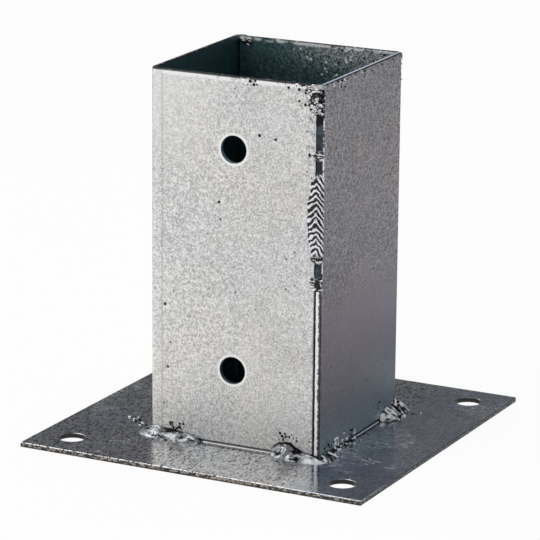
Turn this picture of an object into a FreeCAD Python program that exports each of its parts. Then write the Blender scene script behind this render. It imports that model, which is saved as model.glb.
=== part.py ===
"""Bolt-down base for a square timber post.

Two L-shaped folded sheets stand on a square plate and make an open-topped sleeve. A seam weld joins
them at two opposite corners, and a short foot weld at each corner holds the sleeve to the plate.
Millimetres, +Z up, origin at the centre of the plate's underside.
"""
import FreeCAD, Part

import math
import os

Vector = FreeCAD.Vector

# ---------------------------------------------------------------- driving sizes
# The post that the sleeve takes, and the sleeve around it.
POST_SIDE = 70.0
POST_CLEARANCE = 1.0
SHEET = 2.0
SLEEVE_HEIGHT = 150.0
BEND_INNER_RADIUS = 1.0
BUTT_GAP = 0.5

# Through-bolt holes in the front and back walls, one above the other.
BOLT_HOLE_DIAMETER = 11.0
BOLT_LOWER_HEIGHT = 31.5
BOLT_SPACING = 89.5
BOLT_AXIS_SHIFT = -0.6

# The plate and its four anchor holes.
PLATE_SIDE = 150.0
PLATE_THICKNESS = 2.0
ANCHOR_SPACING = 120.0
ANCHOR_HOLE_DIAMETER = 11.0

# The sleeve is welded on by hand: a little off the plate's centre, and a little turned.
SLEEVE_SHIFT_X = 1.8
SLEEVE_SHIFT_Y = -2.7
SLEEVE_TURN = 0.7

# Rounding that shearing and punching leave on an edge.
EDGE_ROLL = 0.25
HOLE_ROLL = 0.3

# Seam weld: the arc melts the corner to a groove, from a toe on the front wall to a line on the side wall
# a leg back from the corner, and the bead fills it. Its ripples are chevrons. They stand highest up the
# corner at their crest, this share of the way across the face from the side wall, and sweep down to
# either toe.
SEAM_LENGTH = 81.5
SEAM_MELT_DEPTH = 1.5
SEAM_SIDE_LEG = 1.8
SEAM_STATION_PITCH = 0.6
SEAM_RIPPLE_PITCH = 2.5
SEAM_RIPPLE_CREST = 0.65
SEAM_RIPPLE_SWEEP = (4.6, 3.2)
SEAM_TOP_CROWN = 0.25

# The bead's topmost section is this much smaller than the one at the rim.
SEAM_TOP_SHRINK = 0.8

# Crater where the seam weld was stopped: its radius, its middle's height above the seam's lower end,
# its place across the wall from the corner, and out from the wall.
CRATER = (1.9, 3.6, -1.7, 1.1)

# Foot welds: how deep a bead's hidden side lies in the steel, and how closely its sections stand.
BEAD_ROOT = 0.9
ROOT_SHARE = 0.7
FOOT_STATION_PITCH = 0.7
FOOT_SEAM_CORNER_RADIUS = 1.8
FOOT_RIPPLE_PITCH = 2.6
FOOT_RIPPLE_CREST = 0.5
FOOT_RIPPLE_SWEEP = (1.6, 1.6)
FOOT_RIPPLE_HEIGHT = 0.28

# A bead's toe lies this far past the face that it runs out on.
TOE_OVERLAP = 0.2

# Starting numbers of the welds' unevenness, so that they differ as passes of a hand do, and how far the
# hand strays: the seam's toe and crown in mm, a foot bead's legs as a share, and a ripple in radians.
FRONT_SEAM_SEED = 0.4
BACK_SEAM_SEED = 2.9
FIRST_FOOT_SEED = 0.7
FOOT_SEED_STEP = 1.2
TOE_STRAY = 0.25
CROWN_STRAY = 0.08
LEG_STRAY = 0.07
RIPPLE_STRAY = 1.0

# Ripples are fullest along the middle of a face, and fade to its toes as a half sine to this power.
RIPPLE_FADE = 0.9

# How far a Bezier handle stands out for each millimetre that its curve swells there, and where the handles
# of a seam's face stand along the side leg and along the toe's reach.
HANDLE_PULL = 1.9
SIDE_HANDLE = 0.6
TOE_HANDLE = 0.5

# Where the handles of a foot bead's face stand along its legs: near the toe, and near the other wall. The
# crown pushes them out by these shares of itself, the far one and the near one.
NEAR_TOE = 0.62
NEAR_WALL = 0.25
CROWN_FAR = 0.9
CROWN_NEAR = 0.2

# A cutting tool reaches this far past the metal that it cuts.
CUT_MARGIN = 1.0

# A bead's skin is a B-spline of this degree, cut along its length into patches of so many spans.
SKIN_DEGREE = 3
SKIN_PATCH_SPANS = 12

# How closely faces are matched when a skin is closed, and lengths compared.
TOLERANCE = 1e-5

# ---------------------------------------------------------------- worked out from them
SOCKET = POST_SIDE + POST_CLEARANCE
SLEEVE = SOCKET + 2 * SHEET
HALF = SLEEVE / 2
BEND_OUTER_RADIUS = BEND_INNER_RADIUS + SHEET
SLEEVE_TOP = PLATE_THICKNESS + SLEEVE_HEIGHT

# The seam weld's groove is deepest along the middle of the gap between the sheets.
GROOVE_BOTTOM = (-SHEET - BUTT_GAP / 2, -SEAM_MELT_DEPTH)

# Each row describes one stretch of the seam weld, from the sleeve's rim down: share of its length, reach
# of the toe across the wall, swell out from the front wall and past the side wall (less than 0 where the
# face lies within the corner, as a chamfer does), height of the ripples.
SEAM_STRETCHES = [
    (0.000, 5.0, 0.35, 0.35, 0.00),
    (0.035, 6.2, 0.80, 0.50, 0.15),
    (0.085, 6.4, 1.20, 0.70, 0.40),
    (0.130, 5.4, 0.90, 0.50, 0.25),
    (0.158, 3.8, -0.45, -0.35, 0.00),
    (0.310, 3.5, -0.50, -0.45, 0.00),
    (0.335, 4.8, 0.55, 0.45, 0.10),
    (0.362, 3.4, -0.50, -0.40, 0.00),
    (0.432, 3.4, -0.50, -0.40, 0.05),
    (0.470, 4.6, 0.50, 0.55, 0.40),
    (0.600, 6.1, 0.80, 0.65, 0.55),
    (0.740, 5.8, 0.80, 0.70, 0.50),
    (0.785, 4.6, 0.40, 0.65, 0.15),
    (0.850, 4.5, 0.20, 0.45, 0.00),
    (0.875, 3.6, -0.45, -0.35, 0.00),
    (0.925, 3.6, -0.45, -0.30, 0.00),
    (0.950, 4.8, 0.50, 0.50, 0.10),
    (1.000, 3.9, 0.10, 0.15, 0.00),
]

# Each row describes a foot weld at one place: way along the foot from the corner's middle in mm (less
# than 0 on the front or back wall, more than 0 on a side wall), leg on the plate, leg up the wall,
# crown of the face. The first and last rows are its ends.
FOOT_FRONT_LEFT = [
    (-23.5, 0.6, 0.4, 0.10),
    (-22.0, 3.0, 1.7, 0.35),
    (-18.0, 5.2, 2.4, 0.55),
    (-12.5, 6.5, 3.0, 0.60),
    (-6.5, 6.0, 3.7, 0.60),
    (-2.5, 4.8, 4.3, 0.70),
    (0.8, 5.6, 3.6, 0.90),
    (3.0, 4.8, 2.6, 0.70),
    (4.6, 0.8, 0.7, 0.10),
]
FOOT_FRONT_RIGHT = [
    (-20.6, 0.8, 0.8, 0.10),
    (-19.2, 3.2, 3.6, 0.80),
    (-16.0, 5.2, 5.6, 1.30),
    (-12.6, 5.6, 5.7, 1.30),
    (-9.0, 5.6, 3.9, 0.70),
    (-5.0, 5.8, 2.2, 0.35),
    (0.0, 5.4, 1.8, 0.40),
    (3.5, 6.2, 1.6, 0.30),
    (8.0, 4.8, 1.7, 0.25),
    (11.0, 0.8, 0.6, 0.05),
]
FOOT_BACK_RIGHT = [
    (-9.5, 0.8, 0.7, 0.10),
    (-7.5, 4.2, 3.0, 0.60),
    (-3.0, 5.6, 5.2, 1.00),
    (1.0, 6.4, 5.9, 1.10),
    (6.0, 7.0, 4.8, 1.00),
    (11.0, 7.0, 3.9, 0.90),
    (15.5, 5.8, 2.8, 0.70),
    (17.8, 0.8, 0.7, 0.10),
]
FOOT_BACK_LEFT = [
    (-9.0, 0.8, 0.7, 0.10),
    (-7.0, 4.6, 2.6, 0.50),
    (-2.0, 5.6, 3.4, 0.70),
    (3.0, 5.4, 3.8, 0.80),
    (9.0, 5.9, 3.6, 0.80),
    (15.0, 5.4, 3.0, 0.70),
    (19.0, 4.0, 2.2, 0.40),
    (20.5, 0.8, 0.6, 0.10),
]

# How many control points stand across a bead's face, from one toe to the other.
SEAM_FACE_POINTS = 17
FOOT_FACE_POINTS = 11


# ---------------------------------------------------------------- small helpers
def smooth(share):
    """Ease from 0 to 1 with level ends."""
    return share * share * (3 - 2 * share)


def at_place(rows, place):
    """The row's values at a place along the weld, eased from one row to the next."""
    for before, after in zip(rows, rows[1:]):
        if place <= after[0]:
            share = smooth(max(0.0, (place - before[0]) / (after[0] - before[0])))
            return [a + (b - a) * share for a, b in zip(before[1:], after[1:])]
    return list(rows[-1][1:])


def unevenness(place, seed):
    """A hand's slow wander along a weld, between about -1 and 1."""
    return (math.sin(0.83 * place + seed) + 0.6 * math.sin(2.17 * place + 2.3 * seed)) / 1.6


def swept(share, crest, sweep):
    """How far a ripple lies back from its crest, at a share of the way across the face."""
    before, after = sweep
    return before * (crest - share) / crest if share < crest else after * (share - crest) / (1 - crest)


def ripple_wave(phase, share, place, seed):
    """Height of a weld's ripple between -1 and 1, at a share of the way across its face."""
    wave = math.sin(2 * math.pi * phase + RIPPLE_STRAY * unevenness(place / 2, seed))
    return wave * math.sin(math.pi * share) ** RIPPLE_FADE


def stations(start, end, pitch):
    """Evenly spaced places from start to end, about a pitch apart."""
    count = max(4, round((end - start) / pitch))
    return [start + (end - start) * i / count for i in range(count + 1)]


def bezier(points, share):
    """Point of a cubic Bezier curve in a section plane, and its unit normal on the left hand side."""
    a, b, c, d = points
    rest = 1 - share
    weights = (rest**3, 3 * rest**2 * share, 3 * rest * share**2, share**3)
    place = [sum(w * p[i] for w, p in zip(weights, points)) for i in (0, 1)]
    slopes = (3 * rest**2, 6 * rest * share, 3 * share**2)
    along = [sum(w * (q[i] - p[i]) for w, p, q in zip(slopes, (a, b, c), (b, c, d))) for i in (0, 1)]
    length = math.hypot(*along)
    return place, (along[1] / length, -along[0] / length)


def clamped(count, degree):
    """Knots and their multiplicities for a clamped B-spline with this many control points."""
    inner = count - degree - 1
    return list(range(inner + 2)), [degree + 1] + [1] * inner + [degree + 1]


def strip_faces(columns, degree):
    """Faces of one long strip of a bead's skin, controlled by columns of points that run along it."""
    rows = [list(row) for row in zip(*columns)]
    knots_along, counts_along = clamped(len(rows), SKIN_DEGREE)
    knots_across, counts_across = clamped(len(columns), degree)
    faces = []
    for start in range(0, knots_along[-1], SKIN_PATCH_SPANS):
        surface = Part.BSplineSurface()
        surface.buildFromPolesMultsKnots(
            rows,
            counts_along,
            counts_across,
            knots_along,
            knots_across,
            False,
            False,
            SKIN_DEGREE,
            degree,
        )
        end = min(start + SKIN_PATCH_SPANS, knots_along[-1])
        surface.segment(start, end, 0, knots_across[-1])
        faces.append(surface.toShape())
    return faces


def end_face(section, seen):
    """Flat end of a bead, whose smooth face has the first so many points of the section."""
    lines = [Part.makeLine(a, b) for a, b in zip(section[seen - 1 :], section[seen:] + section[:1])]
    if seen > 1:
        curve = Part.BSplineCurve()
        knots, counts = clamped(seen, SKIN_DEGREE)
        curve.buildFromPolesMultsKnots(section[:seen], counts, knots, False, SKIN_DEGREE)
        lines.append(curve.toShape())
    return Part.Face(Part.Wire(Part.sortEdges(lines)[0]))


def skin_solid(sections, seen):
    """A solid bar from its flat sections, closed lists of points that lie one after another along it.

    The first so many points of a section control its smooth face, from toe to toe. Lines join the rest.
    """
    columns = list(zip(*sections))
    faces = strip_faces(columns[:seen], SKIN_DEGREE) if seen > 1 else []
    for pair in zip(columns[seen - 1 :], columns[seen:] + columns[:1]):
        faces += strip_faces(pair, 1)
    faces += [end_face(sections[0], seen), end_face(sections[-1], seen)]
    skin = Part.makeCompound(faces)
    skin.sewShape(TOLERANCE)
    solid = Part.Solid(skin.Shells[0])
    solid.fix(TOLERANCE, TOLERANCE, 10 * TOLERANCE)
    return solid


def largest_solid(shape):
    """The main solid of a cut, without the crumbs that a lumpy surface can leave."""
    return max(shape.Solids, key=lambda solid: solid.Volume)


def upright_cylinder(x, y, base, top, radius):
    return Part.makeCylinder(radius, top - base, Vector(x, y, base), Vector(0, 0, 1))


def roll_circles(solid, coordinate, value, radius, roll):
    """Round the rims of the holes of one radius that lie in one flat face."""
    rims = [
        edge
        for edge in solid.Edges
        if isinstance(edge.Curve, Part.Circle)
        and abs(edge.Curve.Radius - radius) < TOLERANCE
        and abs(getattr(edge.Curve.Center, coordinate) - value) < TOLERANCE
    ]
    return solid.makeFillet(roll, rims)


def on_the_plate(shape):
    """Move a shape from the sleeve's own frame to where the sleeve stands on the plate."""
    placed = shape.copy()
    placed.rotate(Vector(0, 0, 0), Vector(0, 0, 1), SLEEVE_TURN)
    placed.translate(Vector(SLEEVE_SHIFT_X, SLEEVE_SHIFT_Y, 0))
    return placed


# ---------------------------------------------------------------- plate
def base_plate():
    side = PLATE_SIDE
    plate = Part.makeBox(side, side, PLATE_THICKNESS, Vector(-side / 2, -side / 2, 0))
    for sign_x in (-1, 1):
        for sign_y in (-1, 1):
            x = sign_x * ANCHOR_SPACING / 2
            y = sign_y * ANCHOR_SPACING / 2
            plate = plate.cut(upright_cylinder(x, y, 0, PLATE_THICKNESS, ANCHOR_HOLE_DIAMETER / 2))
    outline = [
        edge
        for edge in plate.Edges
        if isinstance(edge.Curve, Part.Line)
        and all(abs(vertex.Z - PLATE_THICKNESS) < TOLERANCE for vertex in edge.Vertexes)
    ]
    plate = plate.makeFillet(EDGE_ROLL, outline)
    return roll_circles(plate, "z", PLATE_THICKNESS, ANCHOR_HOLE_DIAMETER / 2, HOLE_ROLL)


# ---------------------------------------------------------------- sleeve
def sheet_profile():
    """Flat outline of the L-shaped sheet whose fold stands at the front left corner."""
    butt_end = HALF - SHEET - BUTT_GAP
    outer = BEND_OUTER_RADIUS
    inner = BEND_INNER_RADIUS
    centre = Vector(-HALF + outer, -HALF + outer, 0)
    diagonal = Vector(-1, -1, 0).normalize()
    lower = -HALF + SHEET
    edges = [
        Part.makeLine(Vector(butt_end, -HALF, 0), Vector(centre.x, -HALF, 0)),
        Part.Arc(Vector(centre.x, -HALF, 0), centre + diagonal * outer, Vector(-HALF, centre.y, 0)).toShape(),
        Part.makeLine(Vector(-HALF, centre.y, 0), Vector(-HALF, HALF, 0)),
        Part.makeLine(Vector(-HALF, HALF, 0), Vector(lower, HALF, 0)),
        Part.makeLine(Vector(lower, HALF, 0), Vector(lower, centre.y, 0)),
        Part.Arc(Vector(lower, centre.y, 0), centre + diagonal * inner, Vector(centre.x, lower, 0)).toShape(),
        Part.makeLine(Vector(centre.x, lower, 0), Vector(butt_end, lower, 0)),
        Part.makeLine(Vector(butt_end, lower, 0), Vector(butt_end, -HALF, 0)),
    ]
    return Part.Face(Part.Wire(edges))


def folded_sheet(bolt_axis_x):
    """One L-shaped sheet, with its two bolt holes in the wall whose edge butts on the other sheet."""
    profile = sheet_profile()
    profile.translate(Vector(0, 0, PLATE_THICKNESS))
    sheet = profile.extrude(Vector(0, 0, SLEEVE_HEIGHT))
    rim = [
        edge
        for edge in sheet.Edges
        if all(abs(vertex.Z - SLEEVE_TOP) < TOLERANCE for vertex in edge.Vertexes)
    ]
    sheet = sheet.makeFillet(EDGE_ROLL, rim)
    for height in (BOLT_LOWER_HEIGHT, BOLT_LOWER_HEIGHT + BOLT_SPACING):
        start = Vector(bolt_axis_x, -HALF - CUT_MARGIN, PLATE_THICKNESS + height)
        reach = SHEET + 2 * CUT_MARGIN
        sheet = sheet.cut(Part.makeCylinder(BOLT_HOLE_DIAMETER / 2, reach, start, Vector(0, 1, 0)))
    return roll_circles(sheet, "y", -HALF, BOLT_HOLE_DIAMETER / 2, HOLE_ROLL)


def half_turn(shape):
    """The same shape on the opposite corner of the sleeve."""
    turned = shape.copy()
    turned.rotate(Vector(0, 0, 0), Vector(0, 0, 1), 180)
    return turned


# ---------------------------------------------------------------- seam welds
def corner_point(across, out, z):
    """Across is along the front wall from the front right corner, out is away from that wall."""
    return Vector(HALF + across, -HALF - out, z)


def seam_shape(depth, seed):
    """Toe, crown, bulge and ripple height of the seam weld at a depth below the rim."""
    toe, crown, bulge, ripple = at_place(SEAM_STRETCHES, depth / SEAM_LENGTH)
    toe += TOE_STRAY * unevenness(depth, seed)
    crown += CROWN_STRAY * unevenness(2 * depth, seed + 1)
    return toe, crown, bulge, ripple


def melted_section(depth, seed):
    """Section of the metal that the arc melts away: the groove, widened on past the walls' faces."""
    front, deep, side = (-seam_shape(depth, seed)[0], 0.0), GROOVE_BOTTOM, (0.0, -SEAM_SIDE_LEG)
    past_front = (2 * front[0] - deep[0], 2 * front[1] - deep[1])
    past_side = (2 * side[0] - deep[0], 2 * side[1] - deep[1])
    outline = [past_front, deep, past_side, (past_side[0], past_front[1])]
    return [corner_point(across, out, SLEEVE_TOP - depth) for across, out in outline]


def melted_corner(seed):
    """The steel of the front right corner that the seam weld melts away, for the bead to fill."""
    depths = stations(0.0, SEAM_LENGTH, SEAM_STATION_PITCH)
    return skin_solid([melted_section(depth, seed) for depth in depths], 1)


def seam_section(depth, seed):
    """Closed section of the seam bead: its rippled face, then the bottom of its groove."""
    toe, crown, bulge, ripple = seam_shape(depth, seed)
    face = [
        (0.0, -SEAM_SIDE_LEG),
        (HANDLE_PULL * bulge, -SIDE_HANDLE * SEAM_SIDE_LEG),
        (-TOE_HANDLE * toe, HANDLE_PULL * crown),
        (-toe, 0.0),
    ]
    z = SLEEVE_TOP - depth
    points = []
    for i in range(SEAM_FACE_POINTS):
        share = i / (SEAM_FACE_POINTS - 1)
        (across, out), (normal_x, normal_y) = bezier(face, share)
        phase = (depth - swept(share, SEAM_RIPPLE_CREST, SEAM_RIPPLE_SWEEP)) / SEAM_RIPPLE_PITCH
        lift = ripple * ripple_wave(phase, share, depth, seed)
        points.append(corner_point(across + lift * normal_x, out + lift * normal_y, z))
    return points + [corner_point(*GROOVE_BOTTOM, z)]


def seam_bead(seed):
    """The seam bead at the front right corner, seated in its groove, with the crater at its lower end."""
    sections = [seam_section(depth, seed) for depth in stations(0.0, SEAM_LENGTH, SEAM_STATION_PITCH)]
    highest = sections[0]
    middle = sum(highest, Vector()) * (1 / len(highest))
    rise = Vector(0, 0, SEAM_TOP_CROWN)
    crown = [middle + (point - middle) * SEAM_TOP_SHRINK + rise for point in highest]
    radius, height, across, out = CRATER
    crater = Part.makeSphere(radius, corner_point(across, out, SLEEVE_TOP - SEAM_LENGTH + height))
    return skin_solid([crown] + sections, SEAM_FACE_POINTS).cut(crater)


# ---------------------------------------------------------------- foot welds
def foot_place(sign_x, sign_y, radius, way):
    """Point on the sleeve's foot line and the direction out of the wall, a way along from a corner.

    The signs choose the corner. A way below 0 runs along the front or back wall, one above 0 along
    the side wall, and the line turns the corner on an arc.
    """
    turn = way / (radius * math.pi / 2)
    if turn < -0.5:
        past = way + radius * math.pi / 4
        local, normal = (HALF - radius + past, HALF), (0.0, 1.0)
    elif turn > 0.5:
        past = way - radius * math.pi / 4
        local, normal = (HALF, HALF - radius - past), (1.0, 0.0)
    else:
        angle = math.pi / 4 - turn * math.pi / 2
        normal = (math.cos(angle), math.sin(angle))
        local = (HALF - radius + radius * normal[0], HALF - radius + radius * normal[1])
    point = Vector(sign_x * local[0], sign_y * local[1], PLATE_THICKNESS)
    return point, Vector(sign_x * normal[0], sign_y * normal[1], 0)


def foot_section(corner, rows, way, seed):
    """Closed section of a foot bead: its face from the plate up to the wall, and its hidden root."""
    point, normal = foot_place(*corner, way)
    leg_out, leg_up, crown = at_place(rows, way)
    swell = 1 + LEG_STRAY * unevenness(way, seed)
    leg_out *= swell
    leg_up *= 2 - swell
    face = [
        (leg_out + TOE_OVERLAP / 2, -TOE_OVERLAP),
        (NEAR_TOE * leg_out + CROWN_NEAR * crown, NEAR_WALL * leg_up + CROWN_FAR * crown),
        (NEAR_WALL * leg_out + CROWN_FAR * crown, NEAR_TOE * leg_up + CROWN_NEAR * crown),
        (-TOE_OVERLAP, leg_up + TOE_OVERLAP / 2),
    ]
    ripple = FOOT_RIPPLE_HEIGHT * min(1.0, crown)
    outline = []
    for i in range(FOOT_FACE_POINTS):
        share = i / (FOOT_FACE_POINTS - 1)
        (out, up), (normal_out, normal_up) = bezier(face, share)
        phase = (way + swept(share, FOOT_RIPPLE_CREST, FOOT_RIPPLE_SWEEP)) / FOOT_RIPPLE_PITCH
        lift = ripple * ripple_wave(phase, share, way, seed)
        outline.append((out + lift * normal_out, up + lift * normal_up))
    root = BEAD_ROOT
    outline += [(-root, ROOT_SHARE * leg_up), (-root, -root), (ROOT_SHARE * leg_out, -root)]
    return [point + normal * out + Vector(0, 0, up) for out, up in outline]


def foot_bead(corner, rows, seed):
    """A foot weld round one corner, before the sheets and the plate are cut out of it."""
    places = stations(rows[0][0], rows[-1][0], FOOT_STATION_PITCH)
    return skin_solid([foot_section(corner, rows, place, seed) for place in places], FOOT_FACE_POINTS)


# ---------------------------------------------------------------- the pieces together
def build():
    grooves = [melted_corner(FRONT_SEAM_SEED), half_turn(melted_corner(BACK_SEAM_SEED))]
    front_left = folded_sheet(BOLT_AXIS_SHIFT)
    back_right = half_turn(folded_sheet(-BOLT_AXIS_SHIFT))
    for groove in grooves:
        front_left = front_left.cut(groove)
        back_right = back_right.cut(groove)
    plate = base_plate()
    sheets = [on_the_plate(front_left), on_the_plate(back_right)]
    pieces = {
        "base_plate": plate,
        "sleeve_sheet_front_left": sheets[0],
        "sleeve_sheet_back_right": sheets[1],
        "seam_weld_front_right": on_the_plate(seam_bead(FRONT_SEAM_SEED)),
        "seam_weld_back_left": on_the_plate(half_turn(seam_bead(BACK_SEAM_SEED))),
    }
    foot_welds = {
        "foot_weld_front_left": ((-1, -1, BEND_OUTER_RADIUS), FOOT_FRONT_LEFT),
        "foot_weld_front_right": ((1, -1, FOOT_SEAM_CORNER_RADIUS), FOOT_FRONT_RIGHT),
        "foot_weld_back_right": ((1, 1, BEND_OUTER_RADIUS), FOOT_BACK_RIGHT),
        "foot_weld_back_left": ((-1, 1, FOOT_SEAM_CORNER_RADIUS), FOOT_BACK_LEFT),
    }
    for i, (name, (corner, rows)) in enumerate(foot_welds.items()):
        bead = on_the_plate(foot_bead(corner, rows, FIRST_FOOT_SEED + FOOT_SEED_STEP * i))
        for base in [plate] + sheets:
            bead = bead.cut(base)
        pieces[name] = largest_solid(bead)
    return pieces


def main():
    os.makedirs("parts", exist_ok=True)
    for name, piece in build().items():
        piece.exportStep("parts/" + name + ".step")
        print(name, "valid", piece.isValid(), "faces", len(piece.Faces), "volume", round(piece.Volume, 1))


main()
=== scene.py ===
"""Finishes and studio for a bolt-down timber post base of welded zinc-coated steel.

The steel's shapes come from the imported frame. This script dresses them, adds the fine metal that
welding and dipping leave behind (spatter, crumbs and drops of zinc at the rim, and the zinc run
along the foot) and sets the stage.
"""

import math
import random

import bmesh
import bpy
from mathutils import Matrix, Vector, noise


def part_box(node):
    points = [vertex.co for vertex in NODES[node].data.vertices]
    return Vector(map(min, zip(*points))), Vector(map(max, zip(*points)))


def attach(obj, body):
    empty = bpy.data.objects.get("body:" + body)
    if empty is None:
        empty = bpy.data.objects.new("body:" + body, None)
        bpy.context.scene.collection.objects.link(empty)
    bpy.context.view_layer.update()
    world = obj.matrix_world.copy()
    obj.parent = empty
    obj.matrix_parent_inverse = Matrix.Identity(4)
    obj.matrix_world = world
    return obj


bl_info = {
    "name": "Timber post base",
    "version": (1, 0, 0),
    "blender": (4, 5, 0),
    "location": "View3D > Sidebar > Post Base",
    "description": "Dresses a welded steel post base and sets it in a plain studio",
    "category": "Object",
}

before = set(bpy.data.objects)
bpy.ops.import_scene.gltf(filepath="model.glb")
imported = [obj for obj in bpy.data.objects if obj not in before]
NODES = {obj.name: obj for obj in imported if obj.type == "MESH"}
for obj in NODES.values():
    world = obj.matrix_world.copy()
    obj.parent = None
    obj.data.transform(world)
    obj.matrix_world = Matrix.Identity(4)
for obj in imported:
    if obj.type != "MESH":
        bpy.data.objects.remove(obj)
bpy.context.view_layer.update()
MM = 0.001
UPWARD = Vector((0.0, 0.0, 1.0))

# ---------------------------------------------------------------- pieces and sizes
WELD_NODES = [name for name in NODES if "weld" in name]
SHEET_NODES = [name for name in NODES if name.startswith("sleeve_sheet")]

# A piece of the frame that wears each slot's finish.
WEARERS = {"zinc_sheet": SHEET_NODES[0], "zinc_plate": "base_plate", "weld_metal": WELD_NODES[0]}

# Read from the frame, in metres: the plate's top, the boxes of the two sheets and their middle.
PLATE_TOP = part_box("base_plate")[1].z
SHEET_LOW, SHEET_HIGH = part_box("sleeve_sheet_front_left")
OTHER_LOW, OTHER_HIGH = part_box("sleeve_sheet_back_right")
SLEEVE_MIDDLE = Vector(
    (
        (min(SHEET_LOW.x, OTHER_LOW.x) + max(SHEET_HIGH.x, OTHER_HIGH.x)) / 2,
        (min(SHEET_LOW.y, OTHER_LOW.y) + max(SHEET_HIGH.y, OTHER_HIGH.y)) / 2,
        0.0,
    )
)

# The sleeve stands turned a little on the plate.
SLEEVE_TURN = math.radians(0.7)
SLEEVE_TO_WORLD = Matrix.Translation(SLEEVE_MIDDLE) @ Matrix.Rotation(SLEEVE_TURN, 4, "Z")

# The sleeve, in mm: its height above the plate, half its width, the sheet's thickness and the
# folds' outer radius.
SLEEVE_UP = (SHEET_HIGH.z - PLATE_TOP) / MM
SLEEVE_HALF = 37.5
SHEET = 2.0
FOLD_RADIUS = 3.0

# How far from the sleeve's middle, in mm, the outside gives way to the inside, with its stronger
# speckle and painted shade.
INNER_FACE = (36.2, 35.8)

# The anchor hole at the back right, which the other three mirror, and its radius.
ANCHOR_HOLE = Vector((60.0, 60.0, 0.0)) * MM
ANCHOR_RADIUS = 5.5 * MM

# How far from the plate's middle its top gives way to its sheared edges.
PLATE_EDGE = (74.8 * MM, 74.95 * MM)

# The scraped arcs on the plate: their middle, and how far apart they are.
ARC_MIDDLE = Vector((63.0, -19.0, 2.0)) * MM
ARC_PITCH = 2.6 * MM

# The walls of the sleeve: the direction across each one, and the way out of it.
WALLS = {
    "front": (Vector((1.0, 0.0, 0.0)), Vector((0.0, -1.0, 0.0))),
    "right": (Vector((0.0, 1.0, 0.0)), Vector((1.0, 0.0, 0.0))),
    "back": (Vector((1.0, 0.0, 0.0)), Vector((0.0, 1.0, 0.0))),
    "left": (Vector((0.0, 1.0, 0.0)), Vector((-1.0, 0.0, 0.0))),
}

# Which end of each wall is folded round to the next one.
FOLDED_END = {"front": -1, "right": 1, "back": 1, "left": -1}

# Heights above the plate, in mm, between which the seam welds ran smooth; these stretches are
# painted dark, as the dark they mirror.
SMOOTH_STRETCHES = [(124.0, 138.5), (114.5, 120.5), (73.8, 80.0)]

# Heights above the plate, in mm, between which the seam and the foot welds ran lumpy.
LUMPY_STRETCHES = [(138.0, 149.0), (120.5, 124.0), (80.0, 83.0), (68.0, 74.0), (0.0, 11.0)]

# The seam bead's ripples, in mm: pitch, how far in from the corner they crest, and how far they drop
# for each millimetre from the crest to the side toe and to the front toe. The last pair sets how the
# front and the back bead stray from an even pitch.
RIPPLE_PITCH = 2.5
RIPPLE_CREST = 2.4
RIPPLE_DROP = (1.08, 0.82)
RIPPLE_SEEDS = (0.4, 2.9)

# The cross bolt holes in the front and back walls, in mm: across, the height half way between them,
# half their spacing, and their radius.
BOLT_ACROSS = -0.6
BOLT_MIDDLE = 76.25
BOLT_HALF_SPACING = 44.75
BOLT_RADIUS = 5.5

# Droplets on the walls, in mm: wall, range across it, range up from the plate, how many.
WALL_SPATTER = [
    ("right", (-33.0, -3.0), (0.0, 5.0), 64),
    ("right", (14.0, 22.0), (2.0, 9.0), 8),
    ("front", (-29.0, -17.0), (3.0, 6.4), 22),
    ("front", (20.0, 28.0), (6.2, 9.4), 18),
    ("front", (27.0, 33.5), (141.0, 149.0), 18),
    ("front", (31.0, 33.8), (112.0, 138.0), 18),
    ("front", (4.0, 12.0), (147.0, 149.4), 7),
    ("front", (-34.0, 20.0), (20.0, 146.0), 9),
    ("back", (-20.0, 30.0), (2.0, 9.0), 16),
    ("left", (-30.0, 28.0), (0.5, 6.0), 18),
]

# Droplets on the plate, in mm: scattered about a line from one point to another, how widely, and
# how many.
PLATE_SPATTER = [
    ((-52.0, -25.0), (-38.0, -36.0), 1.6, 26),
    ((41.0, -33.0), (40.0, -4.0), 1.7, 46),
    ((44.0, 18.0), (47.0, 36.0), 1.6, 14),
    ((-24.0, -47.0), (-12.0, -43.0), 1.2, 7),
    ((18.0, -48.0), (40.0, -49.0), 1.4, 9),
    ((-44.0, 20.0), (-30.0, 44.0), 2.0, 16),
]

# Crumbs of zinc along the rim, in mm: wall, range across it, range up from the plate, how many, and
# the largest radius.
RIM_DROSS = [
    ("right", (-34.0, 36.0), (148.4, 149.8), 40, 0.50),
    ("right", (-34.0, 10.0), (145.5, 149.0), 16, 0.40),
    ("right", (35.4, 36.2), (138.0, 149.5), 8, 0.55),
    ("front", (20.0, 33.0), (147.5, 149.6), 14, 0.40),
    ("back", (-30.0, 34.0), (149.0, 149.8), 18, 0.35),
]

# The drops inside the two back corners, in mm: lobes across the back wall, up, and their radius.
RIM_DROP = [
    (-33.3, 148.3, 1.3),
    (-31.2, 147.6, 1.45),
    (-29.9, 148.7, 1.0),
    (28.6, 149.2, 0.45),
    (29.9, 148.4, 0.6),
    (31.4, 148.9, 0.55),
    (32.6, 148.1, 0.5),
    (33.6, 149.0, 0.6),
]

# Where the zinc run shows along the foot of each wall, between the foot welds, in mm.
FOOT_RUNS = {
    "front": (-17.0, 19.5),
    "right": (-7.0, 21.0),
    "back": (-27.0, 28.0),
    "left": (-32.0, 18.0),
}


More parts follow.
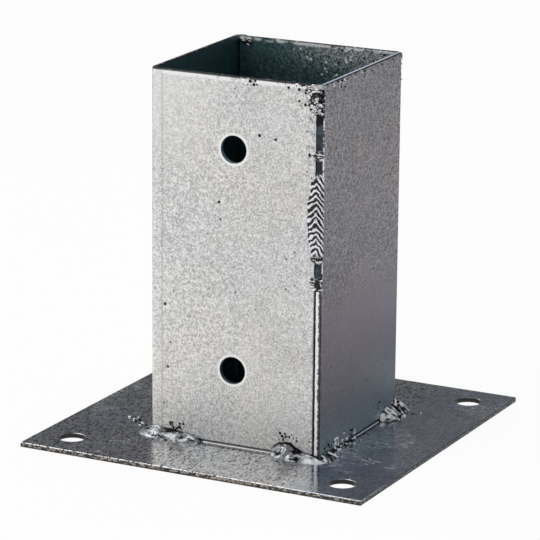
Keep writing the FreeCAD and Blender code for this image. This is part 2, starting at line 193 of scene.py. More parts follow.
# ---------------------------------------------------------------- what a user would change
class PostBaseFinish(bpy.types.PropertyGroup):
    """Colours of the zinc on the sheets, the plate and the welds."""

    sheet_colour: bpy.props.FloatVectorProperty(
        name="Sheet colour",
        description="Zinc coat of the folded sheets",
        subtype="COLOR",
        size=4,
        min=0.0,
        max=1.0,
        default=(0.66, 0.655, 0.645, 1.0),
    )
    plate_colour: bpy.props.FloatVectorProperty(
        name="Plate colour",
        description="Zinc coat of the base plate",
        subtype="COLOR",
        size=4,
        min=0.0,
        max=1.0,
        default=(0.78, 0.785, 0.81, 1.0),
    )
    weld_colour: bpy.props.FloatVectorProperty(
        name="Weld colour",
        description="Coated weld metal",
        subtype="COLOR",
        size=4,
        min=0.0,
        max=1.0,
        default=(0.55, 0.55, 0.56, 1.0),
    )


class PostBaseDetail(bpy.types.PropertyGroup):
    """Sizes of the small metal that the work leaves behind."""

    spatter_radius: bpy.props.FloatProperty(
        name="Spatter radius",
        description="Largest radius of a frozen weld droplet",
        unit="LENGTH",
        default=0.68 * MM,
    )
    foot_run: bpy.props.FloatProperty(
        name="Foot run",
        description="Leg of the zinc that froze in the corner along the sleeve's foot",
        unit="LENGTH",
        default=0.38 * MM,
    )
    seed: bpy.props.IntProperty(
        name="Seed",
        description="Seed of everything that is scattered or lumpy",
        default=7,
        min=1,
    )


class PostBaseStudio(bpy.types.PropertyGroup):
    """Camera, light and surroundings."""

    lens: bpy.props.FloatProperty(
        name="Lens",
        description="Focal length of the camera in millimetres",
        default=224.07,
    )
    distance: bpy.props.FloatProperty(
        name="Camera distance",
        description="From the camera to the middle of the sleeve",
        unit="LENGTH",
        default=1.350345,
    )
    yaw: bpy.props.FloatProperty(
        name="Yaw",
        description="How far the camera stands round to the right of the front",
        unit="ROTATION",
        default=math.radians(26.888),
    )
    pitch: bpy.props.FloatProperty(
        name="Pitch",
        description="How far the camera looks down",
        unit="ROTATION",
        default=math.radians(15.177),
    )
    roll: bpy.props.FloatProperty(
        name="Roll",
        description="How far the camera is turned about its own axis",
        unit="ROTATION",
        default=math.radians(0.525),
    )
    surround_grey: bpy.props.FloatProperty(
        name="Dark cards",
        description="Brightness of the dark cards that the metal mirrors",
        default=0.125,
        min=0.0,
        max=1.0,
    )


# ---------------------------------------------------------------- node building helpers
class Nodes:
    """Short way to add and join shader nodes in one tree."""

    SPACING = 180

    def __init__(self, tree):
        self.tree = tree
        self.column = 0

    def add(self, kind, **settings):
        node = self.tree.nodes.new(kind)
        node.location = (self.column, 0)
        self.column += self.SPACING
        for key, value in settings.items():
            setattr(node, key, value)
        return node

    def join(self, out, into):
        self.tree.links.new(out, into)

    def feed(self, node, socket, value):
        """Join an output to a socket, or write a constant on it."""
        if isinstance(value, bpy.types.NodeSocket):
            self.join(value, node.inputs[socket])
        else:
            node.inputs[socket].default_value = value

    def math(self, operation, a, b=0.0, c=0.0):
        node = self.add("ShaderNodeMath", operation=operation)
        for place, value in enumerate((a, b, c)):
            self.feed(node, place, value)
        return node.outputs[0]

    def chain(self, operation, first, *others):
        """Work one operation through several values in turn."""
        for other in others:
            first = self.math(operation, first, other)
        return first

    def times(self, *values):
        return self.chain("MULTIPLY", *values)

    def plus(self, *values):
        return self.chain("ADD", *values)

    def most(self, *masks):
        """The highest of several masks."""
        return self.chain("MAXIMUM", *masks)

    def clear_of(self, mask):
        """1 where a mask is 0, and 0 where it is 1."""
        return self.math("SUBTRACT", 1.0, mask)

    def sway(self, value, reach):
        """Centre a value between 0 and 1 on 0, and give it a reach from end to end."""
        return self.times(self.math("SUBTRACT", value, 0.5), reach)

    def vector(self, operation, a, b=(0.0, 0.0, 0.0)):
        node = self.add("ShaderNodeVectorMath", operation=operation)
        self.feed(node, 0, a)
        self.feed(node, 1, b)
        return node.outputs["Value" if operation in ("LENGTH", "DISTANCE") else "Vector"]

    def split(self, place):
        """The X, Y and Z of a place."""
        node = self.add("ShaderNodeSeparateXYZ")
        self.feed(node, 0, place)
        return [node.outputs[axis] for axis in "XYZ"]

    def noise(self, place, scale, detail=3.0, roughness=0.55, distortion=0.0):
        node = self.add("ShaderNodeTexNoise")
        self.feed(node, "Vector", place)
        self.feed(node, "Scale", scale)
        self.feed(node, "Detail", detail)
        self.feed(node, "Roughness", roughness)
        self.feed(node, "Distortion", distortion)
        return node.outputs["Fac"]

    def cells(self, place, scale):
        """The distance to the nearest of many scattered points."""
        node = self.add("ShaderNodeTexVoronoi")
        self.feed(node, "Vector", place)
        self.feed(node, "Scale", scale)
        return node.outputs["Distance"]

    def band(self, value, low, high, to_low=0.0, to_high=1.0):
        """Smoothly map value from low..high to to_low..to_high."""
        node = self.add("ShaderNodeMapRange", interpolation_type="SMOOTHSTEP")
        self.feed(node, "Value", value)
        self.feed(node, "From Min", low)
        self.feed(node, "From Max", high)
        self.feed(node, "To Min", to_low)
        self.feed(node, "To Max", to_high)
        return node.outputs["Result"]

    def between(self, bare, full, mask):
        """From bare where a mask is 0 to full where it is 1."""
        return self.band(mask, 0.0, 1.0, bare, full)

    def window(self, value, low, high, soft):
        """1 between low and high, 0 outside, with soft ends."""
        rising = self.band(value, low - soft, low + soft)
        falling = self.band(value, high + soft, high - soft)
        return self.times(rising, falling)

    def crease(self, reach):
        """1 deep in a corner or between ripples, 0 on open metal."""
        node = self.add("ShaderNodeAmbientOcclusion", samples=8)
        self.feed(node, "Distance", reach)
        return self.band(node.outputs["AO"], 0.90, 0.55)

    def mix(self, share, a, b, blend="MIX"):
        """Mix two colours, through the node's own sockets for colours."""
        node = self.add("ShaderNodeMix", data_type="RGBA", blend_type=blend)
        self.feed(node, "Factor", share)
        self.feed(node, 6, a)
        self.feed(node, 7, b)
        return node.outputs[2]

    def paint(self, colour, mask, share, coat):
        """Lay a coat over a share of a colour, where a mask is."""
        return self.mix(self.times(mask, share), colour, coat)

    def bump(self, height, distance):
        node = self.add("ShaderNodeBump")
        self.feed(node, "Height", height)
        self.feed(node, "Distance", distance)
        return node.outputs[0]


def bare_nodes(owner):
    """The node helper of a material or world, its tree emptied."""
    owner.use_nodes = True
    owner.node_tree.nodes.clear()
    return Nodes(owner.node_tree)


def new_group(name, inputs, outputs):
    """A shader node group with named sockets, given as (name, socket type, default)."""
    tree = bpy.data.node_groups.new(name, "ShaderNodeTree")
    for label, kind, default in inputs:
        socket = tree.interface.new_socket(label, in_out="INPUT", socket_type=kind)
        socket.default_value = default
    for label, kind in outputs:
        tree.interface.new_socket(label, in_out="OUTPUT", socket_type=kind)
    nodes = Nodes(tree)
    return tree, nodes, nodes.add("NodeGroupInput"), nodes.add("NodeGroupOutput")


def use_group(nodes, tree, **values):
    """Place a group in a material with its own values."""
    node = nodes.add("ShaderNodeGroup", node_tree=tree)
    for label, value in values.items():
        nodes.feed(node, label, value)
    return node


def place_in_sleeve(nodes, sleeve_place, place):
    """How far right of, behind and above the middle of the sleeve's foot a place is, in mm."""
    local = use_group(nodes, sleeve_place, Place=place)
    return [local.outputs[axis] for axis in "XYZ"]


def new_material(name):
    """A material with a Principled shader, its node helper and its Object coordinates."""
    material = bpy.data.materials.new(name)
    nodes = bare_nodes(material)
    place = nodes.add("ShaderNodeTexCoord").outputs["Object"]
    shader = nodes.add("ShaderNodeBsdfPrincipled")
    output = nodes.add("ShaderNodeOutputMaterial")
    nodes.join(shader.outputs[0], output.inputs["Surface"])
    return material, nodes, place, shader


def coat_steel(nodes, shader, colour, metallic, roughness, relief, depth):
    """Join a finish to its shader, its relief as bumps of a depth."""
    nodes.join(colour, shader.inputs["Base Color"])
    nodes.join(metallic, shader.inputs["Metallic"])
    nodes.join(roughness, shader.inputs["Roughness"])
    nodes.join(nodes.bump(relief, depth), shader.inputs["Normal"])


# ---------------------------------------------------------------- shared effects
def zinc_mottle_group():
    """Fine speckle, soft clouds and pin holes of a dipped zinc coat."""
    tree, n, given, out = new_group(
        "zinc mottle",
        [
            ("Place", "NodeSocketVector", (0.0, 0.0, 0.0)),
            ("Colour", "NodeSocketColor", (0.6, 0.6, 0.6, 1.0)),
            ("Speckle", "NodeSocketFloat", 0.2),
            ("Clouds", "NodeSocketFloat", 0.1),
            ("Pits", "NodeSocketFloat", 1.0),
        ],
        [("Colour", "NodeSocketColor"), ("Grain", "NodeSocketFloat"), ("Pits", "NodeSocketFloat")],
    )
    place = given.outputs["Place"]
    fine = n.noise(place, 1300.0, detail=1.0, roughness=0.6)
    coarse = n.noise(place, 520.0, detail=2.0, roughness=0.6)
    grain = n.band(n.plus(n.times(fine, 0.65), n.times(coarse, 0.35)), 0.30, 0.70)
    clouds = n.noise(place, 38.0, detail=4.0, roughness=0.6)
    warmth = n.noise(n.vector("ADD", place, (3.1, 1.7, 0.4)), 24.0)
    rarity = n.noise(n.vector("ADD", place, (7.0, 2.0, 5.0)), 150.0, detail=1.0)
    pit = n.times(n.band(n.cells(place, 420.0), 0.26, 0.12), n.band(rarity, 0.64, 0.68))
    pit = n.times(pit, given.outputs["Pits"])

    # Each grain and cloud lightens or darkens the coat, and its warmth sways red against blue.
    swing = n.sway(grain, given.outputs["Speckle"])
    drift = n.sway(clouds, given.outputs["Clouds"])
    level = n.plus(swing, drift, 1.0)
    tint = n.sway(warmth, 0.10)
    shade = n.add("ShaderNodeCombineColor")
    for channel, value in enumerate((n.plus(level, tint), level, n.math("SUBTRACT", level, tint))):
        n.feed(shade, channel, value)
    colour = n.mix(1.0, given.outputs["Colour"], shade.outputs[0], blend="MULTIPLY")
    colour = n.mix(pit, colour, (0.05, 0.05, 0.055, 1.0))
    n.join(colour, out.inputs["Colour"])
    n.join(grain, out.inputs["Grain"])
    n.join(pit, out.inputs["Pits"])
    return tree


def sleeve_place_group():
    """Object coordinates turned into the sleeve's own: right, back and up from its foot, in mm."""
    tree, n, given, out = new_group(
        "sleeve place",
        [("Place", "NodeSocketVector", (0.0, 0.0, 0.0))],
        [(axis, "NodeSocketFloat") for axis in "XYZ"],
    )
    mapping = n.add("ShaderNodeMapping", vector_type="TEXTURE")
    n.feed(mapping, "Vector", given.outputs["Place"])
    n.feed(mapping, "Location", (SLEEVE_MIDDLE.x, SLEEVE_MIDDLE.y, PLATE_TOP))
    n.feed(mapping, "Rotation", (0.0, 0.0, SLEEVE_TURN))
    n.feed(mapping, "Scale", (MM, MM, MM))
    for axis, value in zip("XYZ", n.split(mapping.outputs[0])):
        n.join(value, out.inputs[axis])
    return tree


def seam_ripple_group():
    """The seam bead's ripples from a place in the sleeve: 1 on a ridge, -1 in a trough."""
    tree, n, given, out = new_group(
        "seam ripple",
        [(axis, "NodeSocketFloat", 0.0) for axis in "XYZ"],
        [("Wave", "NodeSocketFloat")],
    )
    beside, before = (n.math("ABSOLUTE", given.outputs[axis]) for axis in "XY")
    depth = n.math("SUBTRACT", SLEEVE_UP, given.outputs["Z"])
    from_crest = n.plus(n.math("SUBTRACT", beside, before), RIPPLE_CREST)
    to_side, to_front = RIPPLE_DROP
    swept = n.most(n.times(from_crest, to_side), n.times(from_crest, -to_front))
    turn = n.times(n.math("SUBTRACT", depth, swept), 2 * math.pi / RIPPLE_PITCH)

    # Two slower waves, of their own on each bead, make the pitch stray.
    front_seed, back_seed = RIPPLE_SEEDS
    at_back = n.math("LESS_THAN", given.outputs["X"], 0.0)
    seed = n.math("MULTIPLY_ADD", at_back, back_seed - front_seed, front_seed)
    slow = n.math("SINE", n.math("MULTIPLY_ADD", depth, 0.415, seed))
    quick = n.math("SINE", n.math("MULTIPLY_ADD", depth, 1.085, n.times(seed, 2.3)))
    stray = n.math("MULTIPLY_ADD", quick, 0.375, n.times(slow, 0.625))
    n.join(n.math("SINE", n.plus(turn, stray)), out.inputs["Wave"])
    return tree


# ---------------------------------------------------------------- materials
# The near black of painted shade and of painted dark reflections.
PAINTED_SHADE = (0.04, 0.04, 0.045, 1.0)


def zinc_sheet_material(mottle, sleeve_place, finish):
    """Speckled pale zinc outside, painted shade inside, at the foot and along the rim."""
    material, n, place, shader = new_material("zinc_sheet")
    across, back, up = place_in_sleeve(n, sleeve_place, place)
    beside, before = n.math("ABSOLUTE", across), n.math("ABSOLUTE", back)
    furthest = n.most(beside, before)
    deep = n.times(n.band(beside, *INNER_FACE), n.band(before, *INNER_FACE))
    right = n.band(across, 37.0, 37.3)
    calm = n.times(right, n.band(up, 82.0, 44.0))

    # The speckle is stronger on the right wall and strongest inside, and faint low on the right.
    contrast = n.most(n.between(0.8, 1.35, right), n.times(deep, 2.2))
    contrast = n.times(contrast, n.between(1.0, 0.22, calm))
    base = finish.sheet_colour
    speck = use_group(n, mottle, Place=place, Colour=base, Speckle=contrast, Clouds=0.35, Pits=1.0)
    colour = speck.outputs["Colour"]

    # Paler on the left, and most of all high up.
    colour = n.vector("MULTIPLY", colour, n.band(across, 5.0, -30.0, 1.0, 1.07))
    high = n.times(n.band(up, 90.0, 145.0), n.band(across, 10.0, -35.0))
    colour = n.paint(colour, high, 0.45, (0.88, 0.88, 0.86, 1.0))

    # Low on the right wall the coat is stained purple, and blue along its foot.
    tide = n.band(n.math("MULTIPLY_ADD", n.noise(place, 26.0, detail=1.0), 40.0, up), 28.0, 52.0)
    stain = n.mix(tide, (0.93, 1.10, 1.21, 1.0), (1.09, 1.05, 1.15, 1.0))
    colour = n.mix(calm, colour, stain, blend="MULTIPLY")

    # Faint dark line that the folding tool pressed beside the fold, and a painted highlight on the
    # fold beyond it.
    beyond = n.times(n.band(across, -31.0, -33.5), n.band(back, -34.0, -36.0))
    colour = n.paint(colour, beyond, 0.08, (0.95, 0.95, 0.94, 1.0))
    wander = n.sway(n.noise(place, 60.0), 0.5)
    line = n.band(n.math("ABSOLUTE", n.plus(across, 31.9, wander)), 0.65, 0.15)
    colour = n.paint(colour, line, 0.35, (0.33, 0.35, 0.36, 1.0))

    # The inside is painted darker and faintly green as shade, less so near the rim to the right.
    painted_light = n.times(n.band(up, 132.0, 149.0), n.band(across, -30.0, 25.0))
    inner_shade = n.times(deep, n.between(0.88, 0.20, painted_light))
    colour = n.mix(inner_shade, colour, (0.07, 0.21, 0.24, 1.0))

    # A painted highlight, broken up, just under the rim of the front and back walls, a little
    # higher inside.
    rim = n.window(n.math("MULTIPLY_ADD", deep, -0.7, up), 148.0, 149.8, 0.5)
    rim = n.times(rim, n.band(before, 35.0, 35.4), n.band(n.noise(place, 260.0), 0.36, 0.50))
    rim = n.times(rim, n.band(across, 37.0, 36.5))
    colour = n.paint(colour, rim, 0.85, (0.97, 0.97, 0.95, 1.0))

    # The sawn rim is painted dark and broken, as the dark it mirrors, with dashes of it down the
    # faces in front and behind, but it is pale and faintly blue on the right wall.
    top = n.band(up, 149.72, 149.88)
    broken = n.band(n.noise(place, 330.0, detail=2.0), 0.66, 0.56)
    blue = n.times(top, n.window(across, 35.6, 36.7, 0.1))
    lip = n.times(n.band(up, 149.35, 149.5), n.band(across, 36.5, 36.0))
    lip = n.times(lip, n.band(before, 36.2, 36.5))
    colour = n.paint(colour, n.times(n.most(top, lip), broken), 0.92, PAINTED_SHADE)
    colour = n.paint(colour, blue, 0.9, (0.75, 0.85, 0.97, 1.0))

    # Bluish specks inside, from the middle to the right.
    specks = n.times(n.band(n.cells(place, 480.0), 0.34, 0.20), deep, n.band(across, -22.0, 0.0))
    specks = n.times(specks, n.band(n.noise(place, 180.0), 0.50, 0.56))
    colour = n.mix(specks, colour, (0.80, 0.94, 1.0, 1.0))

    # A pale ring round each bolt hole, and its bluish bore.
    above = n.math("ABSOLUTE", n.math("SUBTRACT", up, BOLT_MIDDLE))
    above = n.math("SUBTRACT", above, BOLT_HALF_SPACING)
    aside = n.math("SUBTRACT", across, BOLT_ACROSS)
    from_bolt = n.math("POWER", n.plus(n.times(above, above), n.times(aside, aside)), 0.5)
    ring = n.window(from_bolt, BOLT_RADIUS, BOLT_RADIUS + 1.1, 0.35)
    ring = n.times(ring, n.band(before, 36.9, 37.3))
    colour = n.paint(colour, ring, 0.8, (1.0, 1.0, 0.98, 1.0))
    bore = n.band(from_bolt, BOLT_RADIUS + 0.22, BOLT_RADIUS + 0.12)
    bore = n.times(bore, n.band(before, 35.0, 35.3))
    colour = n.paint(colour, bore, 0.8, (0.50, 0.60, 0.72, 1.0))

    # Beside the open butt gap one sheet ends in a bright strip, a painted highlight on its cut edge,
    # between two lines of painted shade, in the gap and at the corner.
    tear = n.math("SUBTRACT", n.noise(place, 700.0), 0.5)
    torn = n.math("MULTIPLY_ADD", tear, 0.7, beside)
    butted = n.math("LESS_THAN", n.times(across, back), 0.0)
    open_gap = n.times(n.band(before, 36.2, 36.5), n.band(up, 70.0, 68.0), butted)
    strip = n.times(n.window(torn, 35.65, 36.7, 0.12), open_gap)
    colour = n.paint(colour, strip, 0.85, (1.0, 1.0, 1.0, 1.0))
    far_line = n.band(n.math("MULTIPLY_ADD", tear, 2.2, beside), 36.65, 36.8)
    far_line = n.times(far_line, n.band(n.math("MULTIPLY_ADD", tear, 2.0, before), 36.5, 36.6))
    painted_gap_shade = n.times(n.most(n.window(torn, 34.5, 35.6, 0.12), far_line), open_gap)

    # The zinc run along the foot is blue-grey on the right and cream on the other sides.
    run = n.band(furthest, 37.54, 37.60)
    frozen = n.mix(right, (0.97, 0.97, 0.93, 1.0), (0.55, 0.68, 0.76, 1.0))
    colour = n.paint(colour, run, 0.85, frozen)

    # Painted shade along the foot, in every corner and at every weld toe.
    foot = n.times(n.window(up, 0.6, 1.25, 0.15), n.band(furthest, 37.2, 37.4))
    corners = n.times(n.crease(1.4 * MM), n.between(1.0, 0.3, deep), n.between(1.0, 0.2, run))
    colour = n.paint(colour, n.most(painted_gap_shade, foot, corners), 0.9, PAINTED_SHADE)

    # Where the zinc is pale or carries a painted highlight, it mirrors less.
    chalky = n.most(rim, blue, strip, run, specks)
    grain = speck.outputs["Grain"]
    relief = n.math("SUBTRACT", grain, n.times(speck.outputs["Pits"], 1.5))
    metallic, roughness = n.between(1.0, 0.3, chalky), n.between(0.40, 0.58, grain)
    coat_steel(n, shader, colour, metallic, roughness, relief, 0.035 * MM)
    return material


def zinc_plate_material(mottle, sleeve_place, finish):
    """Glossy, stained and scratched zinc on top, and torn dark steel round the edges."""
    material, n, place, shader = new_material("zinc_plate")
    x, y, z = n.split(place)

    # The speckle is strong and drawn out from front to back, but calmer and bluer on the right.
    beyond = n.band(x, 40.0 * MM, 46.0 * MM)
    contrast = n.between(2.0, 0.7, beyond)
    rolled = n.vector("MULTIPLY", place, (1.1, 0.5, 1.0))
    base = finish.plate_colour
    speck = use_group(n, mottle, Place=rolled, Colour=base, Speckle=contrast, Clouds=0.5, Pits=1.0)
    colour = n.mix(beyond, speck.outputs["Colour"], (0.95, 1.0, 1.04, 1.0), blend="MULTIPLY")

    # Blue and purple stains of the bath, and long curved scratches.
    stain = n.band(n.noise(n.vector("ADD", place, (0.3, 0.9, 0.2)), 19.0), 0.45, 0.70)
    colour = n.paint(colour, stain, 0.45, (0.42, 0.40, 0.56, 1.0))
    bend = n.vector("MULTIPLY", place, (1.0, 7.0, 1.0))
    hair = n.noise(bend, 95.0, detail=2.0, distortion=1.6)
    scratch = n.window(hair, 0.485, 0.515, 0.008)
    scratch = n.times(scratch, n.band(n.noise(place, 30.0), 0.50, 0.60))

    # Arcs that a turning tool scraped beside the sleeve.
    turned = n.vector("DISTANCE", place, ARC_MIDDLE)
    arcs = n.band(n.math("SINE", n.times(turned, 2 * math.pi / ARC_PITCH)), 0.55, 0.95)
    arcs = n.times(arcs, n.window(turned, 9.0 * MM, 19.0 * MM, 1.5 * MM))
    arcs = n.times(arcs, n.band(n.noise(place, 140.0), 0.50, 0.58))
    arcs = n.times(arcs, n.window(x, 55.0 * MM, 71.0 * MM, 2.0 * MM))
    scratch = n.most(scratch, arcs)
    colour = n.paint(colour, scratch, 0.7, (0.95, 0.96, 1.0, 1.0))

    # Sheared edges: torn, dark and granular below the rolled-over top.
    edge_x, edge_y = (n.band(n.math("ABSOLUTE", value), *PLATE_EDGE) for value in (x, y))
    torn = n.times(n.most(edge_x, edge_y), n.band(z, 1.75 * MM, 1.6 * MM))
    tear = n.noise(n.vector("MULTIPLY", place, (1.0, 1.0, 2.0)), 650.0, roughness=0.7)
    crumb = n.mix(edge_x, (0.42, 0.37, 0.32, 1.0), (0.20, 0.20, 0.21, 1.0))
    grit = n.mix(n.band(tear, 0.50, 0.56), (0.02, 0.018, 0.018, 1.0), crumb)
    colour = n.paint(colour, torn, 0.96, grit)

    # Dark walls of the anchor holes, and painted shade round the sleeve's foot and by the welds.
    folded = n.vector("SUBTRACT", n.vector("ABSOLUTE", place), ANCHOR_HOLE)
    from_hole = n.vector("LENGTH", n.vector("MULTIPLY", folded, (1.0, 1.0, 0.0)))
    bore = n.band(from_hole, ANCHOR_RADIUS + 0.25 * MM, ANCHOR_RADIUS + 0.1 * MM)
    bore = n.times(bore, n.band(z, 1.85 * MM, 1.7 * MM))
    across, back, _ = place_in_sleeve(n, sleeve_place, place)
    from_sleeve = n.most(n.math("ABSOLUTE", across), n.math("ABSOLUTE", back))
    foot = n.window(from_sleeve, 37.95, 38.6, 0.15)
    painted_foot_shade = n.times(n.most(foot, n.crease(1.4 * MM)), 0.9)
    colour = n.mix(n.most(bore, painted_foot_shade), colour, (0.035, 0.03, 0.03, 1.0))

    grain = speck.outputs["Grain"]
    roughness = n.plus(n.between(0.10, 0.24, grain), n.times(torn, 0.25))
    relief = n.plus(n.times(grain, 0.35), n.times(tear, torn, 7.0))
    coat_steel(n, shader, colour, n.between(1.0, 0.5, scratch), roughness, relief, 0.06 * MM)
    return material


def weld_metal_material(mottle, sleeve_place, seam_ripple, finish):
    """Ripples and lumps carry painted highlights and painted shade in their creases; smooth
    stretches are glossy and painted dark as the dark they mirror.
    """
    material, n, place, shader = new_material("weld_metal")
    across, back, up = place_in_sleeve(n, sleeve_place, place)
    beside, before = n.math("ABSOLUTE", across), n.math("ABSOLUTE", back)
    at_foot = n.band(up, 12.0, 11.0)
    wander = n.sway(n.noise(place, 500.0), 3.0)
    ragged_up = n.plus(up, wander)
    ragged_beside = n.plus(beside, n.times(wander, 0.2))

    # The foot welds are greyer than the seams, most of all at the front.
    base = finish.weld_colour
    speck = use_group(n, mottle, Place=place, Colour=base, Speckle=0.5, Clouds=0.5, Pits=0.0)
    grey = n.times(at_foot, n.band(back, 20.0, 0.0, 0.2, 0.75))
    colour = n.mix(grey, speck.outputs["Colour"], (0.24, 0.25, 0.28, 1.0))

    # The foot welds, the seam's ends and its short gaps between smooth and rippled stretches are
    # lumpy, with curls painted dark as shade between folds painted pale as highlights.
    lumpy = n.most(*(n.window(up, low, high, 0.6) for low, high in LUMPY_STRETCHES))
    drawn = n.vector("MULTIPLY", place, (0.45, 0.8, 1.2))
    pitch = n.plus(n.band(up, 20.0, 60.0, 250.0, 420.0), n.band(up, 137.0, 137.02, 0.0, 300.0))
    curl = n.noise(drawn, pitch, detail=1.5, distortion=1.8)
    dense = n.plus(n.band(up, 60.0, 70.0, 0.0, 0.10), n.band(back, 10.0, 20.0, 0.0, 0.08))
    curls = n.times(n.band(n.math("SUBTRACT", curl, dense), 0.44, 0.38), lumpy)
    folds = n.times(n.band(curl, 0.53, 0.60), lumpy)

    # The middle of the seam is rippled, with a trough of painted black shade below every ridge
    # with a painted highlight.
    wave = use_group(n, seam_ripple, X=across, Y=back, Z=ragged_up).outputs["Wave"]
    rippled = n.window(up, 82.0, 114.0, 1.5)
    trough = n.times(n.band(wave, 0.15, -0.35), rippled)
    ridge = n.times(n.band(wave, 0.35, 0.85), rippled)

    # The smooth stretches are glossy and painted dark, as the dark they mirror, between a pale toe
    # and a broken arris with a painted highlight.
    smooth = n.most(*(n.window(ragged_up, low, high, 0.25) for low, high in SMOOTH_STRETCHES))
    smooth = n.times(smooth, n.clear_of(n.band(ragged_beside, 34.7, 34.45)))
    arris = n.times(n.window(before, 35.4, 36.05, 0.1), n.band(beside, 36.3, 36.6))
    arris = n.times(arris, n.band(n.noise(place, 420.0), 0.38, 0.52), n.band(up, 12.0, 60.0))
    patches = n.band(n.noise(place, 240.0), 0.42, 0.62)
    painted_dark_reflection = n.mix(patches, (0.015, 0.02, 0.025, 1.0), (0.048, 0.064, 0.085, 1.0))
    colour = n.paint(colour, smooth, 0.97, painted_dark_reflection)
    edges = n.times(n.window(ragged_beside, 34.55, 35.0, 0.12), n.window(up, 73.8, 138.5, 0.5))
    edges = n.times(edges, n.clear_of(rippled))

    # Painted highlights on the foot welds at the back, and low on the right side of the front
    # right one.
    painted_weld_highlight = n.times(at_foot, n.band(back, 10.0, 20.0, 0.0, 0.7), n.band(curl, 0.50, 0.60))
    tail = n.times(n.band(up, 6.0, 5.0), n.band(across, 31.0, 34.0), n.band(back, 0.0, -10.0))
    painted_weld_highlight = n.most(painted_weld_highlight, n.times(tail, n.band(curl, 0.46, 0.54, 0.0, 0.8)))
    # All the painted highlights on the weld, laid on together.
    painted_light = n.most(n.times(folds, 0.9), ridge, arris, painted_weld_highlight)
    colour = n.paint(colour, painted_light, 0.85, (0.95, 0.96, 0.98, 1.0))

    # A black crater below the seam's lowest smooth stretch, a painted shadow high up in its topmost
    # one, and black painted shade in the creases, troughs and curls, with a dark line along the toe.
    crater = n.times(n.window(ragged_up, 69.8, 73.2, 0.4), n.window(beside, 34.7, 36.9, 0.3))
    shadow = n.times(n.window(ragged_up, 134.0, 138.2, 0.8), n.band(beside, 34.6, 35.0))
    dark = n.most(trough, curls, edges, crater, shadow, n.crease(1.0 * MM))
    dark = n.times(dark, n.clear_of(arris))

    # Droplets on the front and back walls are burnt black; on the sides some are painted black as
    # their shadow and some painted white as a glint.
    loose = n.times(n.band(beside, 31.0, 30.8), n.window(up, 2.6, 151.0, 0.2))
    loose = n.times(loose, n.window(before, 37.2, 38.5, 0.1))
    aside = n.times(n.band(beside, 37.3, 37.4), n.window(back, -30.5, 12.0, 0.3))
    tone = n.noise(place, 260.0, detail=0.0)
    # The burnt droplets and all the painted shade above go on together.
    burnt_and_shaded = n.most(loose, n.times(aside, n.band(tone, 0.50, 0.47)), dark)
    fresh = n.times(aside, n.band(tone, 0.50, 0.53))
    colour = n.paint(colour, burnt_and_shaded, 0.98, (0.015, 0.015, 0.017, 1.0))
    # The white glints painted on droplets at the sides.
    colour = n.mix(fresh, colour, (0.97, 0.98, 1.0, 1.0))

    glossy = n.times(n.most(smooth, burnt_and_shaded), n.clear_of(arris))
    chalky = n.times(n.most(arris, ridge, fresh, painted_weld_highlight, folds), 0.55)
    metallic = n.math("SUBTRACT", n.between(0.7, 1.0, glossy), chalky)
    roughness = n.between(0.18, 0.36, speck.outputs["Grain"])
    swirl = n.noise(place, 330.0, detail=1.5, distortion=1.2)
    coat_steel(n, shader, colour, metallic, roughness, swirl, 0.16 * MM)
    return material


def wear_only(piece, material):
    piece.data.materials.clear()
    piece.data.materials.append(material)


# ---------------------------------------------------------------- small steel pieces
def wall_place(side, across, up, out=0.0):
    """World point on a sleeve wall, from millimetres across it, up from the plate and out of it."""
    along, outward = WALLS[side]
    round_fold = max(0.0, across * FOLDED_END[side] - SLEEVE_HALF + FOLD_RADIUS)
    out -= FOLD_RADIUS - math.sqrt(FOLD_RADIUS**2 - min(round_fold, FOLD_RADIUS) ** 2)
    local = (along * across + outward * (out + SLEEVE_HALF)) * MM
    return SLEEVE_TO_WORLD @ (local + Vector((0.0, 0.0, PLATE_TOP + up * MM)))


def wall_normal(side):
    return (SLEEVE_TO_WORLD.to_3x3() @ WALLS[side][1]).normalized()


def add_droplet(mesh, place, normal, radius, flat, wide=1.0, detail=2):
    """A frozen droplet: a ball pressed flat on the steel, and stretched sideways if it is wide."""
    size = Matrix.Diagonal((radius * wide, radius, radius * flat, 1.0))
    turn = normal.to_track_quat("Z", "Y").to_matrix().to_4x4()
    stand = Matrix.Translation(place) @ turn @ size
    ball = bmesh.ops.create_icosphere(mesh, subdivisions=detail, radius=1.0, matrix=stand)
    return ball["verts"]


def add_spatter(mesh, place, normal, largest, scatter):
    """A weld droplet no larger than the largest radius; most are much smaller."""
    radius = largest * (0.35 + 0.65 * scatter.random() ** 2)
    add_droplet(mesh, place, normal, radius, scatter.uniform(0.5, 0.9))


def roughen(verts, pitch, depth):
    """Move points in and out of a lump by smooth noise."""
    for vert in verts:
        vert.co += noise.noise_vector(vert.co / pitch) * depth


def steel_piece(name, mesh, slot):
    """Make the finished mesh a piece of the part, in its slot's finish."""
    for face in mesh.faces:
        face.smooth = True
    data = bpy.data.meshes.new(name)
    mesh.to_mesh(data)
    mesh.free()
    data.materials.append(NODES[WEARERS[slot]].data.materials[0])
    piece = bpy.data.objects.new(name, data)
    bpy.context.scene.collection.objects.link(piece)
    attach(piece, "root")


# ---------------------------------------------------------------- operators
class POSTBASE_OT_finishes(bpy.types.Operator):
    """Give every steel piece its zinc or weld finish"""

    bl_idname = "postbase.finishes"
    bl_label = "Finishes"

    def execute(self, context):
        finish = context.scene.postbase_finish
        mottle = zinc_mottle_group()
        sleeve_place = sleeve_place_group()
        sheet = zinc_sheet_material(mottle, sleeve_place, finish)
        plate = zinc_plate_material(mottle, sleeve_place, finish)
        weld = weld_metal_material(mottle, sleeve_place, seam_ripple_group(), finish)
        wear_only(NODES["base_plate"], plate)
        for name in SHEET_NODES:
            wear_only(NODES[name], sheet)
        for name in WELD_NODES:
            wear_only(NODES[name], weld)
        return {"FINISHED"}


